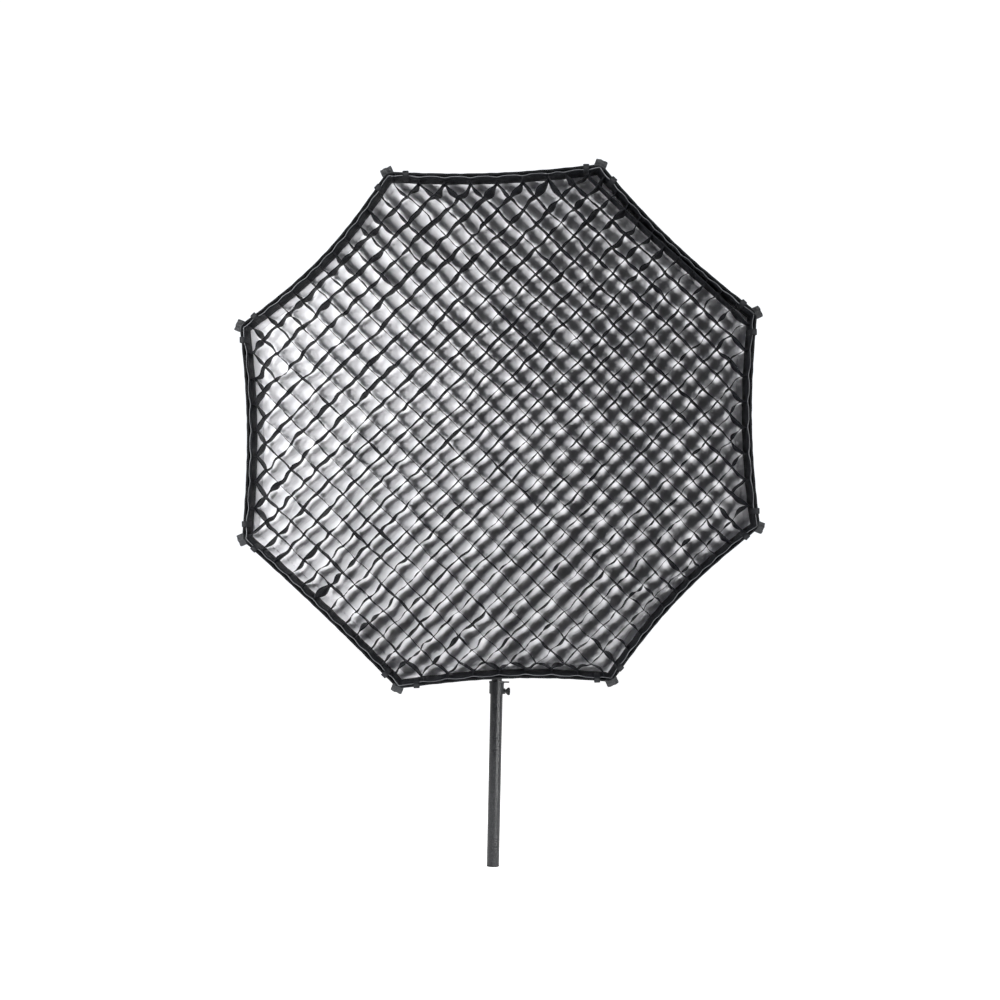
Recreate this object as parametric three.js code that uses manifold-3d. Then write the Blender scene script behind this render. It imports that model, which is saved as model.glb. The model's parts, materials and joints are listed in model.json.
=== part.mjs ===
// An octagonal studio softbox with a fabric grid. It is carried by a tilting bracket with a cold shoe,
// on the top two tubes of a light stand. Millimetres, +Z up. The origin is the centre of the foot of the
// lower tube, and the softbox faces -Y.
import * as THREE from "three";
import { mergeVertices } from "three/addons/utils/BufferGeometryUtils.js";
import Module from "manifold-3d";

const wasm = await Module();
wasm.setup();

// ---- Driving sizes ----
const SIDES = 8;
const HALF_SIDE = Math.PI / SIDES; // angle from the middle of a side to a corner
const AXIS_HEIGHT = 1026; // the softbox's axis above the foot
const SOFTBOX_ROLL = THREE.MathUtils.degToRad(2.5); // how far it is turned in its speed ring
const GAP = 0.3; // between pieces that touch

// Softbox, in its own frame: Y is its axis, and y falls towards the front
const ROD_START = { r: 72, y: -61 };
const ROD_BEND = { r: 392, y: -222 };
const ROD_TIP = { r: 583, y: -432 };
const ROD_RADIUS = 2.5;
// How far the middle of each front edge is drawn in, anticlockwise from the +X side
const SIDE_SAG = [14.6, 14.7, 10.8, 23.4, 13, 5.4, 14, 18.6];
const STRETCH = 0.0065; // the taut cloth makes the front longer along one diagonal, and narrower across it
const STRETCH_ANGLE = THREE.MathUtils.degToRad(43.5);
const SHELL_FROM = 0.08; // where along the rods the shell begins
const SHELL_STATIONS = 7;
const SHELL_INSIDE = 5.7; // the shell's two faces, measured out from the middle of a rod
const SHELL_OUTSIDE = 7.5;
const LINING_INSIDE = 3.8;
const LINING_OUTSIDE = 4.8;
const LIP_BACK = { corner: 588.5, y: -428.6 };
const LIP_FRONT = { corner: 597, y: -477.5 };
const LIP_WALL = 2;
const HEM_RADIUS = 2.6;
const DIFFUSER = { corner: 568, y: -422, wall: 1.2 };
const GRID_BACK = { corner: 579, y: -441 };
const GRID_FRONT = { corner: 588, y: -476.5 };
const GRID_CELL = 39.4;
const GRID_STRIP_STEP = 3; // the solid grid has every third strip
const GRID_STRIP_WALL = 2.4;
const BAFFLE = { corner: 262, y: -209, wall: 1.2 };
const STRAP = { width: 8, wall: 1.2, reach: 316 };

// Bracket, in a frame on the softbox's axis above the stand
const PLATE = { inner: 52, outer: 80, back: -30, front: -42 };
const BAYONET = { inner: 44.6, outer: 66, back: -42.3, front: -50.3 };
const INSERT = { inner: 40, outer: 44, back: -33, front: -72 };
const INSERT_FLANGE = { outer: 60, back: -50.8, front: -54.8 };
const LUG = { outer: 50, back: -33, front: -41, angle: 0.7 };
const SPEED_RING = { inner: 44.5, outer: 78, back: -55.2, front: -67.2 };
const RETAINER = { inner: 44.4, outer: 60, back: -67.6, front: -71.6 };
const SOCKET_RADIUS = 5.5;
const SCREW_CIRCLE = 60; // the bayonet ring's screws
const LATCH = { pivot: 71, back: -25.6, front: -29.7 };
const PIVOT_DROP = 110; // the tilt pivot below the softbox's axis
const EAR = { radius: 15, inner: 7, outer: 14 };
const BOLT_RADIUS = 4;
const RAIL = { halfWidth: 13, top: -64, bottom: -70, back: 92, slotHalf: 3.4 };
const SHOE = { halfWidth: 17, front: 22, back: 58, height: 12 };

// Stand
const LOWER_TUBE = { r: 15, bore: 13.5, bottom: 3.3, top: 424 };
const UPPER_TUBE = { r: 12.5, bore: 11, bottom: 300, top: 812 };
const COLLAR = { r: 17.6, bottom: 411, top: 440.5, knobHeight: 417 };
const SPIGOT = { r: 8, flange: 12.5, top: 874, screwHeight: 856 };
const SWIVEL = { r: 17, bottom: 818.3, top: 892 };
const ROUND = 32; // facets of a round piece

const cornerAngles = Array.from({ length: SIDES }, (_, i) => HALF_SIDE + i * 2 * HALF_SIDE);
const thirds = [0, 1, 2].map((i) => Math.PI / 2 + (i * 2 * Math.PI) / 3);
const ringScrewAngles = [Math.PI / 2, -Math.PI / 2];

// ---- Helpers ----
function solid(geometry) {
  const bare = geometry.clone();
  bare.deleteAttribute("normal");
  bare.deleteAttribute("uv");
  const merged = mergeVertices(bare, 1e-4);
  const vertProperties = merged.attributes.position.array;
  const triVerts = new Uint32Array(merged.index.array);
  return new wasm.Manifold(new wasm.Mesh({ numProp: 3, vertProperties, triVerts }));
}

function geometryOf(manifold) {
  const mesh = manifold.getMesh();
  const made = new THREE.BufferGeometry();
  made.setAttribute("position", new THREE.BufferAttribute(mesh.vertProperties, 3));
  made.setIndex(new THREE.BufferAttribute(mesh.triVerts, 1));
  made.computeVertexNormals();
  return made;
}

function join(first, ...others) {
  return geometryOf(others.reduce((all, g) => all.add(solid(g)), solid(first)));
}

function cut(first, ...others) {
  return geometryOf(others.reduce((all, g) => all.subtract(solid(g)), solid(first)));
}

function common(first, second) {
  return geometryOf(solid(first).intersect(solid(second)));
}

function box(xs, ys, zs) {
  const made = new THREE.BoxGeometry(xs[1] - xs[0], ys[1] - ys[0], zs[1] - zs[0]);
  return made.translate((xs[0] + xs[1]) / 2, (ys[0] + ys[1]) / 2, (zs[0] + zs[1]) / 2);
}

// A closed profile of [radius, y] corners, turned round the Y axis.
function turned(profile, facets = ROUND) {
  const area = profile.reduce((sum, [r, y], i) => {
    const [r2, y2] = profile[(i + 1) % profile.length];
    return sum + r * y2 - r2 * y;
  }, 0);
  const ordered = area > 0 ? profile : [...profile].reverse();
  const points = [...ordered, ordered[0]].map(([r, y]) => new THREE.Vector2(r, y));
  return new THREE.LatheGeometry(points, facets);
}

function ring(inner, outer, y1, y2, facets = ROUND) {
  const [low, high] = [Math.min(y1, y2), Math.max(y1, y2)];
  return turned([[inner, low], [outer, low], [outer, high], [inner, high]], facets);
}

function rod(radius, y1, y2, facets = ROUND) {
  return new THREE.CylinderGeometry(radius, radius, Math.abs(y2 - y1), facets).translate(0, (y1 + y2) / 2, 0);
}

// A round piece along another axis.
function along(axis, geometry) {
  if (axis === "x") return geometry.rotateZ(-Math.PI / 2);
  if (axis === "z") return geometry.rotateX(Math.PI / 2);
  return geometry;
}

// How much further out the stretched octagon is at an angle. pull is 0 where it is regular, 1 at the front.
function stretched(angle, pull) {
  return 1 + STRETCH * pull ** 2 * Math.cos(2 * (angle - STRETCH_ANGLE));
}

// The outline of an octagon whose sides are drawn in, as a radius at an angle.
function outlineRadius(angle, corner, pull) {
  const side = Math.round(angle / (2 * HALF_SIDE));
  const fromMiddle = angle - side * 2 * HALF_SIDE;
  const drawnIn = pull * SIDE_SAG[side % SIDES] * (1 - (fromMiddle / HALF_SIDE) ** 2);
  return ((corner * Math.cos(HALF_SIDE) - drawnIn) / Math.cos(fromMiddle)) * stretched(angle, pull);
}

function outlinePoint(angle, corner, pull) {
  const r = outlineRadius(angle, corner, pull);
  return [r * Math.cos(angle), r * Math.sin(angle)];
}

// A closed profile of { corner, pull, y } carried round the octagon.
function octagonRing(profile, stepsPerSide = 4) {
  const area = profile.reduce((sum, a, i) => {
    const b = profile[(i + 1) % profile.length];
    return sum + a.corner * b.y - b.corner * a.y;
  }, 0);
  const ordered = area < 0 ? profile : [...profile].reverse();
  const steps = SIDES * stepsPerSide;
  const position = [];
  const index = [];
  for (const { corner, pull, y } of ordered)
    for (let i = 0; i < steps; i++) {
      const [x, z] = outlinePoint(HALF_SIDE + (i * 2 * Math.PI) / steps, corner, pull);
      position.push(x, y, z);
    }
  for (let p = 0; p < ordered.length; p++)
    for (let i = 0; i < steps; i++) {
      const q = (p + 1) % ordered.length;
      const j = (i + 1) % steps;
      const [a, b, c, d] = [p * steps + i, p * steps + j, q * steps + j, q * steps + i];
      index.push(a, b, c, a, c, d);
    }
  const made = new THREE.BufferGeometry();
  made.setAttribute("position", new THREE.Float32BufferAttribute(position, 3));
  made.setIndex(index);
  made.computeVertexNormals();
  return made;
}

// A flat octagon whose back face is at y = back.
function octagonPlate(corner, pull, back, wall, stepsPerSide = 4) {
  const steps = SIDES * stepsPerSide;
  const points = Array.from({ length: steps }, (_, i) => {
    const [x, z] = outlinePoint(HALF_SIDE + (i * 2 * Math.PI) / steps, corner, pull);
    return new THREE.Vector2(x, z);
  });
  const plate = new THREE.ExtrudeGeometry(new THREE.Shape(points), { depth: wall, bevelEnabled: false });
  return plate.rotateX(Math.PI / 2).translate(0, back, 0);
}

// A flat outline of [y, z] points, made solid between two values of x.
function sidePlate(outline, x1, x2) {
  const shape = new THREE.Shape(outline.map(([y, z]) => new THREE.Vector2(y, z)));
  const plate = new THREE.ExtrudeGeometry(shape, { depth: x2 - x1, bevelEnabled: false });
  return plate.rotateY(Math.PI / 2).rotateX(Math.PI / 2).translate(x1, 0, 0);
}

// ---- Materials ----
function material(color, roughness, metalness) {
  return new THREE.MeshStandardMaterial({ color, roughness, metalness });
}
const nylon = material(0x15171a, 0.7, 0);
const silver = material(0xb9bcc0, 0.45, 0.4);
const whiteCloth = material(0xe9e9ea, 0.85, 0);
const gridCloth = material(0x121416, 0.65, 0);
const blackPaint = material(0x1d2024, 0.45, 0.3);
const castBlack = material(0x1a1b1d, 0.55, 0.3);
const steel = material(0xb8babd, 0.3, 1);
const glassFibre = material(0x2a2b2d, 0.4, 0);
const blackPlastic = material(0x161719, 0.5, 0);

// ---- The rods' curve, and the surfaces that follow it ----
function rodAt(t) {
  const mix = (a, b, c) => (1 - t) ** 2 * a + 2 * t * (1 - t) * b + t ** 2 * c;
  const slope = (a, b, c) => (1 - t) * (b - a) + t * (c - b);
  const dr = slope(ROD_START.r, ROD_BEND.r, ROD_TIP.r);
  const dy = slope(ROD_START.y, ROD_BEND.y, ROD_TIP.y);
  const length = Math.hypot(dr, dy);
  return {
    r: mix(ROD_START.r, ROD_BEND.r, ROD_TIP.r),
    y: mix(ROD_START.y, ROD_BEND.y, ROD_TIP.y),
    along: [dr / length, dy / length],
    out: [-dy / length, dr / length],
  };
}

// A layer of cloth between two distances out from the rods, as far along them as `to`.
function clothLayer(inside, outside, to) {
  const face = (offset) =>
    Array.from({ length: SHELL_STATIONS }, (_, i) => {
      const t = Math.min(to, SHELL_FROM + ((1 - SHELL_FROM) * i) / (SHELL_STATIONS - 1));
      const { r, y, out } = rodAt(t);
      return { corner: r + offset * out[0], pull: t, y: y + offset * out[1] };
    });
  return octagonRing([...face(inside), ...face(outside).reverse()]);
}

// ---- Stand ----
// A closed profile of [radius, z] corners, turned round the Z axis.
function upright(profile, facets = ROUND) {
  return turned(profile, facets).rotateX(Math.PI / 2);
}

function standTube({ r, bore, bottom, top }) {
  return upright([[bore, bottom], [r, bottom], [r, top], [bore, top]], ROUND);
}

// The lower tube has a hole for the collar's thumb screw, which presses on the upper tube.
function lowerTube() {
  const hole = along("x", rod(3.4, LOWER_TUBE.bore - 3, LOWER_TUBE.r + 3, 16));
  return cut(standTube(LOWER_TUBE), hole.translate(0, 0, COLLAR.knobHeight));
}

function footPlug() {
  const insert = LOWER_TUBE.bore - GAP;
  return upright([[0, 0], [LOWER_TUBE.r, 0], [LOWER_TUBE.r, 3], [insert, 3], [insert, 24], [0, 24]]);
}

function clampCollar() {
  const { r, bottom, top, knobHeight } = COLLAR;
  const bore = LOWER_TUBE.r + GAP;
  const body = upright([[bore, bottom], [r, bottom], [r, top - 4.5], [r + 0.8, top - 4.5], [r + 0.8, top],
    [UPPER_TUBE.r + 0.4, top], [UPPER_TUBE.r + 0.4, top - 3], [bore, top - 3]]);
  const boss = along("x", rod(7, r - 1.6, r + 3)).translate(0, 0, knobHeight);
  const ear = box([r - 3, 30], [-4, 4], [top - 3, top]);
  const hole = along("x", rod(3.3, bore - 2, r + 5, 16)).translate(0, 0, knobHeight);
  return cut(join(body, cut(ear, along("z", rod(r - 1, top - 5, top + 2))), boss), hole);
}

function collarBush() {
  const { top } = LOWER_TUBE;
  const [inner, outer] = [UPPER_TUBE.r + GAP, LOWER_TUBE.r - 0.1];
  const end = COLLAR.top - 3.4;
  return upright([[inner, top + GAP], [outer, top + GAP], [outer, end], [inner, end]]);
}

// A thumb screw along +X: its stud, its hub, and a flat rounded grip.
function wingKnob(stud, studRadius, from, reach, span) {
  const shank = along("x", rod(studRadius, stud, from + 1, 16));
  const hub = along("x", rod(span * 0.55, from, from + reach * 0.55, 20));
  const half = [[0.1, 0.4], [0.3, 0.72], [0.55, 0.95], [0.8, 0.98], [0.95, 0.8], [1, 0.4]];
  const outline = [...half, ...[...half].reverse().map(([u, v]) => [u, -v])];
  const shape = new THREE.Shape(outline.map(([u, v]) => new THREE.Vector2(from + reach * u, span * v)));
  const wing = new THREE.ExtrudeGeometry(shape, { depth: 5, bevelEnabled: false });
  return join(shank, hub, wing.rotateX(Math.PI / 2).translate(0, 2.5, 0));
}

function tubeGlide() {
  const flange = LOWER_TUBE.bore - GAP;
  const insert = UPPER_TUBE.bore - GAP;
  const { bottom } = UPPER_TUBE;
  return upright([[0, bottom - 8], [flange, bottom - 8], [flange, bottom - GAP], [insert, bottom - GAP],
    [insert, bottom + 15], [0, bottom + 15]]);
}

function spigot() {
  const { top } = UPPER_TUBE;
  const insert = UPPER_TUBE.bore - GAP;
  return upright([[0, top - 22], [insert, top - 22], [insert, top + GAP], [SPIGOT.flange, top + GAP],
    [SPIGOT.flange, SWIVEL.bottom - GAP], [SPIGOT.r, SWIVEL.bottom - GAP], [SPIGOT.r, SPIGOT.top - 26],
    [SPIGOT.r - 2, SPIGOT.top - 23], [SPIGOT.r - 2, SPIGOT.top - 12], [SPIGOT.r, SPIGOT.top - 9],
    [SPIGOT.r, SPIGOT.top - 1.5], [SPIGOT.r - 1.5, SPIGOT.top], [0, SPIGOT.top]], 24);
}

// ---- Bracket ----
// The socket that turns on the spigot, with the tongue that the fork tilts on.
function swivelSocket() {
  const { r, bottom, top } = SWIVEL;
  const pivot = AXIS_HEIGHT - PIVOT_DROP;
  const bore = SPIGOT.r + 0.4;
  const body = upright([[bore, bottom], [r - 1.5, bottom], [r, bottom + 1.5], [r, top - 2], [r - 2, top],
    [0, top], [0, SPIGOT.top + 2], [bore, SPIGOT.top + 2]]);
  const half = EAR.inner - 0.4;
  const neck = box([-half, half], [-11, 11], [top - 3, pivot]);
  const head = along("x", rod(EAR.radius, -half, half)).translate(0, 0, pivot);
  const bolt = along("x", rod(BOLT_RADIUS + GAP, -20, 20, 20)).translate(0, 0, pivot);
  const screwHole = along("x", rod(3.8, -r - 2, -6, 20)).translate(0, 0, SPIGOT.screwHeight);
  return cut(join(body, neck, head), bolt, screwHole);
}

// The bracket: a ring plate, a fork down to the tilt pivot, and a rail behind for the cold shoe.
function bracketFrame() {
  const plate = ring(PLATE.inner, PLATE.outer, PLATE.back, PLATE.front, 40);
  const ear = [[PLATE.front, -58], [-14, -58], [13, -99]];
  for (let i = 0; i <= 8; i++) {
    const a = THREE.MathUtils.degToRad(20 - i * 25);
    ear.push([EAR.radius * Math.cos(a), -PIVOT_DROP + EAR.radius * Math.sin(a)]);
  }
  ear.push([PLATE.front, -84]);
  const stem = sidePlate(ear, -EAR.outer, EAR.outer);
  const slot = box([-EAR.inner, EAR.inner], [-40, 40], [-PIVOT_DROP - 30, -PIVOT_DROP + EAR.radius + 2]);
  const bore = along("x", rod(BOLT_RADIUS + GAP, -20, 20, 20)).translate(0, 0, -PIVOT_DROP);
  const rail = box([-RAIL.halfWidth, RAIL.halfWidth], [PLATE.back - 2, RAIL.back], [RAIL.bottom, RAIL.top]);
  const railSlot = box([-RAIL.slotHalf, RAIL.slotHalf], [16, RAIL.back - 8], [RAIL.bottom - 1, RAIL.top + 1]);
  const web = [[-31, -60], [-14, -64.5], [-14, -72], [-31, -72]];
  const gusset = sidePlate(web, -RAIL.halfWidth, RAIL.halfWidth);
  const opening = rod(PLATE.inner, PLATE.back + 20, PLATE.front - 1, 40);
  const pin = along("y", rod(2.5, PLATE.back - 1, -24.2, 16)).translate(-LATCH.pivot, 0, 0);
  const frame = join(plate, cut(stem, slot), rail, gusset, pin);
  return cut(frame, bore, railSlot, opening, ...thirds.map(bayonetScrewHole));
}

// The lever that lets the bayonet go: an arm on a pivot pin, with a ribbed thumb tab.
function releaseLatch() {
  const arm = box([-98, -64], [LATCH.front, LATCH.back], [-6, 6]);
  const eye = rod(8, LATCH.front, LATCH.back, 24).translate(-LATCH.pivot, 0, 0);
  const tab = box([-104, -95], [LATCH.front - 6, LATCH.back], [-9, 9]);
  const hole = rod(2.8, LATCH.front - 8, LATCH.back + 2, 16).translate(-LATCH.pivot, 0, 0);
  return cut(join(arm, eye, tab), hole);
}

function tiltBolt() {
  const shank = along("x", rod(BOLT_RADIUS, -EAR.outer - 1, 25, 20));
  const head = along("x", rod(7.5, -EAR.outer - 6.5, -EAR.outer - GAP, 6));
  return join(shank, head).translate(0, 0, -PIVOT_DROP);
}

// The lever's hub turns on the bolt's end, and its arm hangs down behind the stand.
function tiltLever() {
  const hub = along("x", rod(11, EAR.outer + GAP, 29, 28));
  const arm = sidePlate([[-5, 0], [6, 4], [34, -48], [35, -58], [28, -60], [22, -52]], 19, 28);
  const bore = along("x", rod(BOLT_RADIUS + GAP, 5, 26, 20));
  return cut(join(hub, arm), bore).translate(0, 0, -PIVOT_DROP);
}

// A countersunk screw that holds the bayonet ring to the plate, put in from the front.
function bayonetScrew(angle) {
  const { front, back } = BAYONET;
  const profile = [[0, front], [3.4, front], [1.7, front + 1.8], [1.7, back + 8], [0, back + 8]];
  return turned(profile, 14).translate(SCREW_CIRCLE, 0, 0).rotateY(-angle);
}

function bayonetScrewHole(angle) {
  const { front, back } = BAYONET;
  const end = back + 9;
  const profile = [[0, front - 1], [3.9, front - 1], [3.9, front], [2.1, front + 1.9], [2.1, end], [0, end]];
  return turned(profile, 14).translate(SCREW_CIRCLE, 0, 0).rotateY(-angle);
}

// A sector of a flat ring, centred on an angle, between two values of y.
function sector(inner, outer, y1, y2, middle, angle) {
  const shape = new THREE.Shape();
  shape.absarc(0, 0, outer, middle - angle / 2, middle + angle / 2, false);
  shape.absarc(0, 0, inner, middle + angle / 2, middle - angle / 2, true);
  const depth = Math.abs(y2 - y1);
  const made = new THREE.ExtrudeGeometry(shape, { depth, bevelEnabled: false, curveSegments: 6 });
  return made.rotateX(Math.PI / 2).translate(0, Math.max(y1, y2), 0);
}

function bayonetRing() {
  const { inner, outer, back, front } = BAYONET;
  const notch = (a) =>
    sector(inner - 3, LUG.outer + 0.6, back + 1, front - 1, a + Math.PI / 3, LUG.angle + 0.08);
  return cut(ring(inner, outer, back, front, 40), ...thirds.map(notch), ...thirds.map(bayonetScrewHole));
}

function bayonetInsert() {
  const { inner, outer, back, front } = INSERT;
  const flange = INSERT_FLANGE;
  const body = turned([[inner, front], [outer, front], [outer, flange.front], [flange.outer, flange.front],
    [flange.outer, flange.back], [outer, flange.back], [outer, back], [inner, back]], 40);
  const lug = (a) => sector(outer - 1.5, LUG.outer, LUG.back, LUG.front, a, LUG.angle);
  return join(body, ...thirds.map(lug));
}

function retainingRing() {
  return ring(RETAINER.inner, RETAINER.outer, RETAINER.back, RETAINER.front, 40);
}

function shoeCarriage() {
  const { halfWidth, front, back, height } = SHOE;
  const top = RAIL.top + GAP + height;
  const block = box([-halfWidth, halfWidth], [front, back], [RAIL.top + GAP, top]);
  const channel = box([-9.4, 9.4], [front - 1, back - 3], [top - 5, top - 2.2]);
  const mouth = box([-6.3, 6.3], [front - 1, back - 3], [top - 3, top + 1]);
  const keyHalf = RAIL.slotHalf - 0.4;
  const key = box([-keyHalf, keyHalf], [front + 6, back - 6], [RAIL.bottom + 1, RAIL.top + 1]);
  const screw = along("z", rod(2.3, -10, 8.3, 16)).translate(0, (front + back) / 2, RAIL.bottom);
  return cut(join(block, key), channel, mouth, screw);
}

function shoeKnob() {
  const middle = (SHOE.front + SHOE.back) / 2;
  const profile = [[0, -16], [8, -16], [9.5, -13], [9.5, -5], [8.5, -GAP], [2, -GAP], [2, 7.8], [0, 7.8]];
  return upright(profile, 24).translate(0, middle, RAIL.bottom);
}

// ---- Softbox ----
function rodPoint(t, angle) {
  const { r, y } = rodAt(t);
  const reach = r * stretched(angle, t);
  return new THREE.Vector3(reach * Math.cos(angle), y, reach * Math.sin(angle));
}

function softboxRod(angle) {
  const points = Array.from({ length: 9 }, (_, i) => rodPoint(0.006 + (0.994 * i) / 8, angle));
  const section = new THREE.Shape();
  section.absarc(0, 0, ROD_RADIUS, 0, 2 * Math.PI, false);
  const extrudePath = new THREE.CatmullRomCurve3(points);
  return new THREE.ExtrudeGeometry(section, { steps: 9, curveSegments: 4, extrudePath });
}

function speedRing() {
  const { inner, outer, back, front } = SPEED_RING;
  const { along: direction } = rodAt(0);
  const tilt = Math.atan2(direction[0], direction[1]);
  const middle = (back + front) / 2;
  const socket = (radius, from, to) => (angle) =>
    rod(radius, from, to, 10).rotateZ(-tilt).translate(ROD_START.r, ROD_START.y, 0).rotateY(-angle);
  const screwHole = (angle) =>
    along("x", rod(2.8, inner - 1, outer + 2, 10)).translate(0, middle, 0).rotateY(-angle);
  const blank = join(ring(inner, outer, back, front, 40), ...cornerAngles.map(socket(SOCKET_RADIUS, -7, 20)));
  return cut(blank, ...cornerAngles.map(socket(ROD_RADIUS + 0.5, 0, 24)), ...ringScrewAngles.map(screwHole));
}

// A thumb screw through the speed ring's rim, that holds the softbox from turning.
function ringScrew(angle) {
  const { inner, outer, back, front } = SPEED_RING;
  const shank = along("x", rod(2.4, inner + 1, outer + 1, 12));
  const head = along("x", rod(5.4, outer + GAP, outer + 8, 12));
  return join(shank, head).translate(0, (back + front) / 2, 0).rotateY(-angle);
}

function rearCollar() {
  const inner = [[122.5, -78.6], [104.5, -64], [95, -55.5], [93, -47.5]];
  const outer = [[95.3, -47.5], [97, -54.5], [106, -62], [124, -76.5]];
  const profile = [...inner, ...outer];
  return octagonRing(profile.map(([corner, y]) => ({ corner, pull: 0, y })));
}

// The band that stands forward of the diffuser and holds the grid.
function frontLip(grow = 0) {
  const [b, f] = [LIP_BACK, LIP_FRONT];
  return octagonRing([
    { corner: b.corner - LIP_WALL, pull: 1, y: b.y + grow },
    { corner: b.corner + grow, pull: 1, y: b.y + grow },
    { corner: f.corner + grow, pull: 1, y: f.y - grow },
    { corner: f.corner - LIP_WALL, pull: 1, y: f.y - grow },
  ]);
}

function hem() {
  const middle = { corner: LIP_FRONT.corner - LIP_WALL / 2, y: LIP_FRONT.y - GAP - HEM_RADIUS };
  const profile = Array.from({ length: 6 }, (_, i) => {
    const a = Math.PI / 6 + (i * Math.PI) / 3;
    const corner = middle.corner + HEM_RADIUS * Math.cos(a);
    return { corner, pull: 1, y: middle.y - HEM_RADIUS * Math.sin(a) };
  });
  return octagonRing(profile);
}

// The cloth cap over a rod's tip: two wings round the lip's corner, and a flared nose.
function cornerPocket(angle) {
  const r = ((LIP_BACK.corner + LIP_FRONT.corner) / 2) * stretched(angle, 1);
  const half = [[r - 10, 17], [r - 6, 19], [r + 1.5, 8], [r + 6, 7], [r + 9.5, 10.5], [r + 11.5, 9]];
  const outline = [...half, ...[...half].reverse().map(([u, v]) => [u, -v])];
  const shape = new THREE.Shape(outline.map(([u, v]) => new THREE.Vector2(u, v)));
  const nose = new THREE.ExtrudeGeometry(shape, { depth: 26, bevelEnabled: false });
  nose.rotateX(Math.PI / 2).translate(0, -444, 0).rotateY(-angle);
  const inside = octagonPlate(LIP_FRONT.corner - LIP_WALL, 1, -430, 60);
  return cut(nose, frontLip(0.4), inside);
}

function gridStrips(direction) {
  const reach = GRID_FRONT.corner;
  const half = GRID_STRIP_WALL / 2;
  const step = GRID_CELL * GRID_STRIP_STEP;
  const count = Math.floor(GRID_BACK.corner / step);
  const strips = [];
  for (let i = -count; i <= count; i++) {
    const strip = box([-reach, reach], [GRID_FRONT.y, GRID_BACK.y], [i * step - half, i * step + half]);
    strips.push(strip.rotateY((direction * Math.PI) / 4));
  }
  return strips;
}

// The grid: crossed strips of cloth inside a band that tapers in towards the diffuser.
function grid() {
  const wall = 2;
  const [b, f] = [GRID_BACK, GRID_FRONT];
  const band = octagonRing([
    { corner: b.corner - wall, pull: 1, y: b.y },
    { corner: b.corner, pull: 1, y: b.y },
    { corner: f.corner, pull: 1, y: f.y },
    { corner: f.corner - wall, pull: 1, y: f.y },
  ]);
  const strips = join(...gridStrips(1), ...gridStrips(-1));
  const within = octagonPlate(b.corner - wall / 2, 1, b.y + 1, 40);
  return join(common(strips, within), band);
}

function baffleStrap(angle) {
  const half = STRAP.width / 2;
  const strap = box([BAFFLE.corner + 2, STRAP.reach], [BAFFLE.y - STRAP.wall, BAFFLE.y], [-half, half]);
  return strap.rotateY(-angle);
}

// ---- Assembly ----
const assembly = new THREE.Group();
const bracket = new THREE.Group();
bracket.position.z = AXIS_HEIGHT;
const softbox = new THREE.Group();
softbox.rotation.y = -SOFTBOX_ROLL;
bracket.add(softbox);
assembly.add(bracket);

function add(parent, name, geometry, finish) {
  const mesh = new THREE.Mesh(geometry, finish);
  mesh.name = name;
  parent.add(mesh);
  return mesh;
}

add(assembly, "lower_tube", lowerTube(), blackPaint);
add(assembly, "foot_plug", footPlug(), blackPlastic);
add(assembly, "clamp_collar", clampCollar(), castBlack);
add(assembly, "collar_bush", collarBush(), blackPlastic);
const collarKnob = add(assembly, "collar_knob", wingKnob(UPPER_TUBE.r + GAP, 3, 21, 11.5, 9.5), blackPlastic);
collarKnob.position.z = COLLAR.knobHeight;
add(assembly, "upper_tube", standTube(UPPER_TUBE), blackPaint);
add(assembly, "tube_glide", tubeGlide(), blackPlastic);
add(assembly, "spigot", spigot(), steel);

add(assembly, "swivel_socket", swivelSocket(), castBlack);
const socketKnob = add(assembly, "socket_knob", wingKnob(SPIGOT.r + 0.7, 3.4, 17.5, 15, 12), blackPlastic);
socketKnob.position.z = SPIGOT.screwHeight;
socketKnob.rotation.z = Math.PI;

add(bracket, "bracket_frame", bracketFrame(), castBlack);
add(bracket, "tilt_bolt", tiltBolt(), steel);
add(bracket, "tilt_lever", tiltLever(), blackPlastic);
add(bracket, "release_latch", releaseLatch(), steel);
add(bracket, "bayonet_ring", bayonetRing(), steel);
thirds.forEach((angle, i) => add(bracket, `bayonet_screw_${i + 1}`, bayonetScrew(angle), steel));
add(bracket, "bayonet_insert", bayonetInsert(), steel);
add(bracket, "retaining_ring", retainingRing(), steel);
add(bracket, "shoe_carriage", shoeCarriage(), castBlack);
add(bracket, "shoe_knob", shoeKnob(), blackPlastic);

add(softbox, "speed_ring", speedRing(), castBlack);
ringScrewAngles.forEach((angle, i) => add(softbox, `ring_screw_${i + 1}`, ringScrew(angle), steel));
cornerAngles.forEach((angle, i) => add(softbox, `rod_${i + 1}`, softboxRod(angle), glassFibre));
add(softbox, "outer_shell", clothLayer(SHELL_INSIDE, SHELL_OUTSIDE, 1), nylon);
add(softbox, "silver_lining", clothLayer(LINING_INSIDE, LINING_OUTSIDE, 0.985), silver);
add(softbox, "rear_collar", rearCollar(), nylon);
add(softbox, "front_lip", frontLip(), nylon);
add(softbox, "front_hem", hem(), nylon);
cornerAngles.forEach((angle, i) => add(softbox, `corner_pocket_${i + 1}`, cornerPocket(angle), nylon));
add(softbox, "inner_baffle", octagonPlate(BAFFLE.corner, 0, BAFFLE.y, BAFFLE.wall, 1), whiteCloth);
cornerAngles.forEach((angle, i) => add(softbox, `baffle_strap_${i + 1}`, baffleStrap(angle), nylon));
add(softbox, "front_diffuser", octagonPlate(DIFFUSER.corner, 1, DIFFUSER.y, DIFFUSER.wall), whiteCloth);
add(softbox, "fabric_grid", grid(), gridCloth);

export default assembly;
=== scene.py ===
"""The looks of an octagonal studio softbox with a fabric grid, on the top two tubes of a light stand."""
import json
import math

import bpy
import numpy as np
from mathutils import Matrix, Vector

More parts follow.
